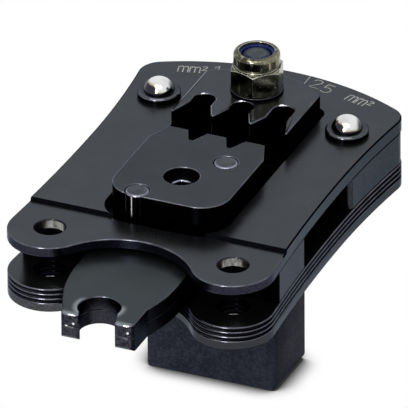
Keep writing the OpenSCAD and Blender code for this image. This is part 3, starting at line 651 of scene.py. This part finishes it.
# The rails' front-facing sides are painted black: painted shade
rail_skin = burnished("burnished_rail", PLATE_FACE, RAIL_SIDE, rough=0.3, front=UNLIT)
spacer_skin = burnished("burnished_spacer", PLATE_FACE, RAIL_SIDE, rough=0.3)
fixed_skin = burnished("burnished_fixed_die", scaled(DIE_FACE, 1.22), DIE_SIDE, rough=0.2, tint=0.38)
die_skin = burnished("burnished_die", DIE_FACE, DIE_SIDE, rough=0.2, tint=0.38)
ram_skin = burnished("burnished_ram", RAM_FACE, RAM_SIDE, rough=0.3, tint=0.5, ram=True)
collar_skin = burnished("burnished_collar", DIE_FACE, COLLAR_SIDE, rough=0.16, tint=0.4)
# Edge materials: light tone on the upper bevel, painted shade below; scaled tones, away tones and glints
# are painted highlights
plain_edge = edge_with_painted_light("painted_light_edge", EDGE)
front_edge = edge_with_painted_light("painted_light_front_edge", EDGE, front_edges)
plate_edge = edge_with_painted_light("painted_light_plate_edge", EDGE, outer_edges)
nest_edge = edge_with_painted_light("painted_light_nest_edge", EDGE, away=scaled(EDGE, 6.0), glints=NEST_GLINTS)
dowel_edge = edge_with_painted_light("painted_light_dowel_edge", scaled(EDGE, 2.4))
die_edge = edge_with_painted_light("painted_light_die_edge", DIE_EDGE, rough=0.3, away=scaled(EDGE, 3.6))
tip_edge = edge_with_painted_light(
    "painted_light_tip_edge", scaled(EDGE, 2.0), prong_tips, below=scaled(RAM_SIDE, 0.5), glints=TIP_GLINTS
)
soft_edge = edge_with_painted_light("painted_light_soft_edge", SOFT_EDGE, rough=0.3)
# All black: painted shade on the rails' and spacer's edges, dark seams beside the plates
painted_shade_edge = edge_with_painted_light("painted_shade_edge", UNLIT, rough=0.3)
dowel_skin = dowel()
polished = riveted()
ground = metal("ground_steel", (0.55, 0.55, 0.54, 1), (0.38, 0.38, 0.38, 1), rough=0.3)
zinc = plated("zinc_plate", (0.14, 0.132, 0.085, 1), (0.36, 0.35, 0.26, 1), rough=0.16)
# Lighter metal on the nut's rounded edges: painted highlight
zinc_edge = metal("zinc_edge_highlight", (0.42, 0.41, 0.35, 1), (0.20, 0.19, 0.15, 1), rough=0.16)
stud_end = metal("stud_end", (0.070, 0.078, 0.085, 1), (0.045, 0.052, 0.062, 1), rough=0.4)
stud_edge = metal("stud_edge", (0.040, 0.050, 0.120, 1), (0.015, 0.020, 0.055, 1), rough=0.4)
nylon = dull(
    "blue_nylon", (0.010, 0.016, 0.080, 1), (0.02, 0.03, 0.14, 1), rough=0.35, grain=0.05, gloss=0.25
)
block_skin = dull(
    "blasted_block", (0.016, 0.018, 0.028, 1), (0.038, 0.042, 0.060, 1), rough=0.7, grain=0.4,
    gloss=0.04, right=0.95,
)
ink = dull("engraving", (0.42, 0.41, 0.39, 1), (0.26, 0.25, 0.24, 1), rough=0.6, grain=0.2)

# ---------------------------------------------------------------- CAD pieces
WELD_DISTANCE = 0.002 * MM
FLAT_ANGLE = math.radians(0.5)
EDGE_ANGLE = math.radians(28)
EDGE_SEGMENTS = 4
FACE_WEIGHT = 90

# Material, width of the rounded edges in mm, and the material of those edges if it is another
DRESS = {
    "top_plate": (top_skin, 0.22, front_edge),
    "lower_plate_1": (plate_skin, 0.24, plate_edge),
    "lower_plate_2": (plate_skin, 0.24, plate_edge),
    "lower_plate_3": (plate_skin, 0.24, plate_edge),
    "base_plate": (base_skin, 0.2, plate_edge),
    "guide_rail_left": (rail_skin, 0.26, painted_shade_edge),
    "guide_rail_right": (rail_skin, 0.26, painted_shade_edge),
    "rear_spacer": (spacer_skin, 0.26, painted_shade_edge),
    "ram_upper_plate": (ram_skin, 0.2, tip_edge),
    "ram_lower_plate": (ram_skin, 0.03),
    "fixed_die": (fixed_skin, 0.26, nest_edge),
    "moving_die": (die_skin, 0.18, die_edge),
    "die_dowels": (dowel_skin, 0.34, dowel_edge),
    "die_screw": (die_skin, 0.3, dowel_edge),
    "rail_pins": (ground, 0.08),
    "rear_rivets": (polished,),
    "rivet_collars": (collar_skin, 0.12, plain_edge),
    "nut_washer": (collar_skin, 0.08, soft_edge),
    "lock_nut": (zinc, 0.1, zinc_edge),
    "nut_insert": (nylon, 0.05),
    "pivot_bolt": (stud_end, 0.42, stud_edge),
    "friction_washer": (ground, 0.04),
    "locator_arm": (spacer_skin, 0.12, soft_edge),
    "locator_block": (block_skin,),
    "locator_screws": (ground, 0.05),
}


def dress(name, material, width=0.0, edge=None):
    """Gives a CAD node its material and rounded edges, which may have a material of their own."""
    o = NODES[name]
    o.data.materials.clear()
    o.data.materials.append(material)
    # Stored normals would override those of the rounded edges
    normal = o.data.attributes.get("custom_normal")
    if normal is not None:
        o.data.attributes.remove(normal)
    for polygon in o.data.polygons:
        polygon.use_smooth = True
    weld = o.modifiers.new("weld", "WELD")
    weld.merge_threshold = WELD_DISTANCE
    flat = o.modifiers.new("flat", "DECIMATE")
    flat.decimate_type = "DISSOLVE"
    flat.angle_limit = FLAT_ANGLE
    if width:
        bevel = o.modifiers.new("edge", "BEVEL")
        bevel.width = width * MM
        bevel.segments = EDGE_SEGMENTS
        if edge:
            o.data.materials.append(edge)
            bevel.material = 1
        bevel.limit_method = "ANGLE"
        bevel.angle_limit = EDGE_ANGLE
        bevel.use_clamp_overlap = False
        bevel.harden_normals = True
        bevel.miter_outer = "MITER_ARC"
    smooth = o.modifiers.new("normals", "WEIGHTED_NORMAL")
    smooth.keep_sharp = True
    smooth.weight = FACE_WEIGHT


for node_name, look in DRESS.items():
    dress(node_name, *look)

# ---------------------------------------------------------------- scale marks
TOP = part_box("top_plate")[1].z
MARK_UP = 0.012 * MM
MARK_WIDTH = 0.2 * MM
# The least cosine by which a corner of a stroke may be widened
MITRE_LIMIT = 0.6
# Strokes of signs one unit high
M_STROKES = (
    ((0.0, 0.0), (0.0, 1.0)),
    ((0.0, 0.75), (0.18, 1.0), (0.36, 0.98), (0.42, 0.8), (0.42, 0.0)),
    ((0.42, 0.75), (0.60, 1.0), (0.76, 0.98), (0.84, 0.8), (0.84, 0.0)),
)
TWO = (((0.0, 0.8), (0.12, 0.97), (0.4, 1.0), (0.58, 0.86), (0.56, 0.66), (0.0, 0.0), (0.62, 0.0)),)
ONE = (((0.0, 0.72), (0.32, 1.0), (0.32, 0.0)),)
FIVE = (
    ((0.6, 1.0), (0.08, 1.0), (0.04, 0.56), (0.32, 0.64), (0.56, 0.52), (0.62, 0.3),
     (0.52, 0.08), (0.26, 0.0), (0.0, 0.1)),
)
POINT = (((0.0, 0.0), (0.0, 0.08)),)
TICK = (((0.0, 0.0), (0.0, 1.0)),)
# Sign, place in mm, angle in degrees and height in mm
SIGNS = (
    (ONE, -11.5, 56.1, 11.0, 2.4),
    (TICK, 3.8, 58.1, 0.0, 3.1),
    (TWO, 4.75, 58.1, -7.0, 2.6),
    (POINT, 6.55, 57.7, -8.0, 2.6),
    (FIVE, 7.0, 57.3, -10.0, 2.6),
)
# Place in mm and angle in degrees of the two mm signs with a raised 2
UNITS = ((-16.95, 54.35, 14.8), (11.85, 56.2, -14.6))
M_HEIGHT = 1.95
M_STEP = 1.95
POWER_STEPS = 2.02
POWER_RISE = 0.95
POWER_HEIGHT = 1.25


def ribbon(mesh, points):
    """Flat strip along points, with mitred corners and a little height."""
    half = MARK_WIDTH / 2
    sides = []
    for i, p in enumerate(points):
        back = (p - points[i - 1]).normalized() if i else None
        ahead = (points[i + 1] - p).normalized() if i + 1 < len(points) else None
        run = ((back or ahead) + (ahead or back)).normalized()
        across = Vector((-run.y, run.x))
        grow = 1.0
        if back is not None and ahead is not None:
            grow = 1.0 / max(MITRE_LIMIT, across.dot(Vector((-back.y, back.x))))
        sides.append((p + across * half * grow, p - across * half * grow))
    rows = []
    for left, right in sides:
        lower, upper = TOP - MARK_UP, TOP + MARK_UP
        ring = ((left, lower), (left, upper), (right, upper), (right, lower))
        rows.append([mesh.verts.new((v.x, v.y, z)) for v, z in ring])
    for first, second in zip(rows, rows[1:]):
        for k in range(4):
            mesh.faces.new((first[k], first[(k + 1) % 4], second[(k + 1) % 4], second[k]))
    mesh.faces.new(rows[0][::-1])
    mesh.faces.new(rows[-1])


def mark(mesh, strokes, x, y, angle, height):
    turn = Matrix.Rotation(math.radians(angle), 2)
    for stroke in strokes:
        ribbon(mesh, [Vector((x, y)) * MM + turn @ (Vector(p) * height * MM) for p in stroke])


def turned(angle, length):
    return length * math.cos(math.radians(angle)), length * math.sin(math.radians(angle))


def square_millimetres(mesh, x, y, angle):
    step = turned(angle, M_STEP)
    for i in range(2):
        mark(mesh, M_STROKES, x + i * step[0], y + i * step[1], angle, M_HEIGHT)
    up = turned(angle + 90, POWER_RISE)
    x += POWER_STEPS * step[0] + up[0]
    y += POWER_STEPS * step[1] + up[1]
    mark(mesh, TWO, x, y, angle, POWER_HEIGHT)


def make_scale():
    """The plain numbers and units of the scale, as one raised mesh on the top plate."""
    mesh = bmesh.new()
    for unit in UNITS:
        square_millimetres(mesh, *unit)
    for sign in SIGNS:
        mark(mesh, *sign)
    bmesh.ops.recalc_face_normals(mesh, faces=mesh.faces)
    data = bpy.data.meshes.new("scale_marks")
    mesh.to_mesh(data)
    mesh.free()
    marks = bpy.data.objects.new("scale_marks", data)
    bpy.context.scene.collection.objects.link(marks)
    data.materials.append(ink)
    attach(marks, "head")


make_scale()

# ---------------------------------------------------------------- floor
FLOOR_Z = cad_low.z
FLOOR_HALF = 3.0
FLOOR_TONE = (0.93, 0.93, 0.93, 1)
SHADOW_REACH = 5.0 * MM
# Open share of the sky at the darkest and the lightest of the shadow, and its glow there
SHADOW_OPEN = (0.42, 0.955)
SHADOW_GLOW = (0.03, 1.0)


def make_floor():
    """Pale floor: the camera and all reflections see it near white, with the soft shadows kept."""
    mesh = bpy.data.meshes.new("floor")
    corners = [(-1, -1), (1, -1), (1, 1), (-1, 1)]
    mesh.from_pydata([(x * FLOOR_HALF, y * FLOOR_HALF, FLOOR_Z) for x, y in corners], [], [(0, 1, 2, 3)])
    floor = bpy.data.objects.new("floor", mesh)
    bpy.context.scene.collection.objects.link(floor)
    s = Shader("pale_floor", Roughness=0.9, Specular_IOR_Level=0.0, Base_Color=FLOOR_TONE)
    shade = s.node("ShaderNodeAmbientOcclusion", {"Distance": SHADOW_REACH}, samples=16)
    glow = s.span(shade.outputs["AO"], *SHADOW_OPEN, *SHADOW_GLOW)
    white = s.node("ShaderNodeEmission", {"Strength": glow})
    both = s.node("ShaderNodeMixShader", {0: s.seen(), 1: s.surface.outputs[0], 2: white.outputs[0]})
    s.put(s.found("OUTPUT_MATERIAL").inputs["Surface"], both.outputs[0])
    floor.data.materials.append(s.material)


make_floor()

# ---------------------------------------------------------------- light
DOME_MIDDLE = (-0.20, 0.60, 0.775)
# Cosines of the angles from its middle at which the dome ends and is at its full light
DOME_EDGE = (0.66, 0.84)
BRIGHT = 1.0
# Light outside of the dome, which goes from dim to dark as its direction turns to the right
DIM = 0.36
DARK = 0.12
DARK_ACROSS = (0.3, 0.7)
# Height of the direction over which the bright line of the horizon ends
HORIZON = (0.02, 0.05)
DOME_TINT = (0.95, 0.985, 1.0, 1)
WHITE = (1.0, 1.0, 1.0, 1)
CENTRE = Vector((0.0, 0.02, -0.01))
LAMP_DISTANCE = 0.95
# Name, direction, width and height in metres, radiance
LAMPS = (
    ("key", (0.022, -0.40, 0.90), 0.9, 0.3, 4.0),
    ("front", (-0.02, -0.869, 0.472), 0.19, 0.36, 25.0),
)


def make_world():
    """White studio for the camera and all reflections. For soft light it is a bright dome
    behind, above and to the left, dimmer round the rest."""
    world = bpy.data.worlds.new("studio")
    bpy.context.scene.world = world
    world.use_nodes = True
    g = Graph(world.node_tree)
    away = g.node("ShaderNodeTexCoord").outputs["Generated"]
    towards = g.measure("DOT_PRODUCT", away, DOME_MIDDLE)
    outside = g.span(g.part(away, X), *DARK_ACROSS, DIM, DARK)
    dome = g.span(towards, *DOME_EDGE, outside, BRIGHT)
    horizon = g.below(g.math("ABSOLUTE", g.part(away, Z)), *HORIZON)
    lit = g.math("MAXIMUM", dome, horizon)
    background = g.found("BACKGROUND")
    camera = g.node("ShaderNodeLightPath").outputs["Is Camera Ray"]
    g.put(background.inputs["Color"], g.mix(camera, DOME_TINT, WHITE))
    g.put(background.inputs["Strength"], g.math("MAXIMUM", lit, g.seen()))


def area_light(name, direction, width, height, radiance):
    """Rectangular softbox at LAMP_DISTANCE, with the radiance that a mirror would show."""
    data = bpy.data.lights.new(name, "AREA")
    data.shape = "RECTANGLE"
    data.size = width
    data.size_y = height
    data.energy = radiance * math.pi * width * height
    lamp = bpy.data.objects.new(name, data)
    away = Vector(direction).normalized()
    lamp.location = CENTRE + away * LAMP_DISTANCE
    lamp.rotation_euler = (-away).to_track_quat("-Z", "Y").to_euler()
    bpy.context.scene.collection.objects.link(lamp)


make_world()
for lamp_look in LAMPS:
    area_light(*lamp_look)
bpy.context.scene.view_settings.view_transform = "Standard"
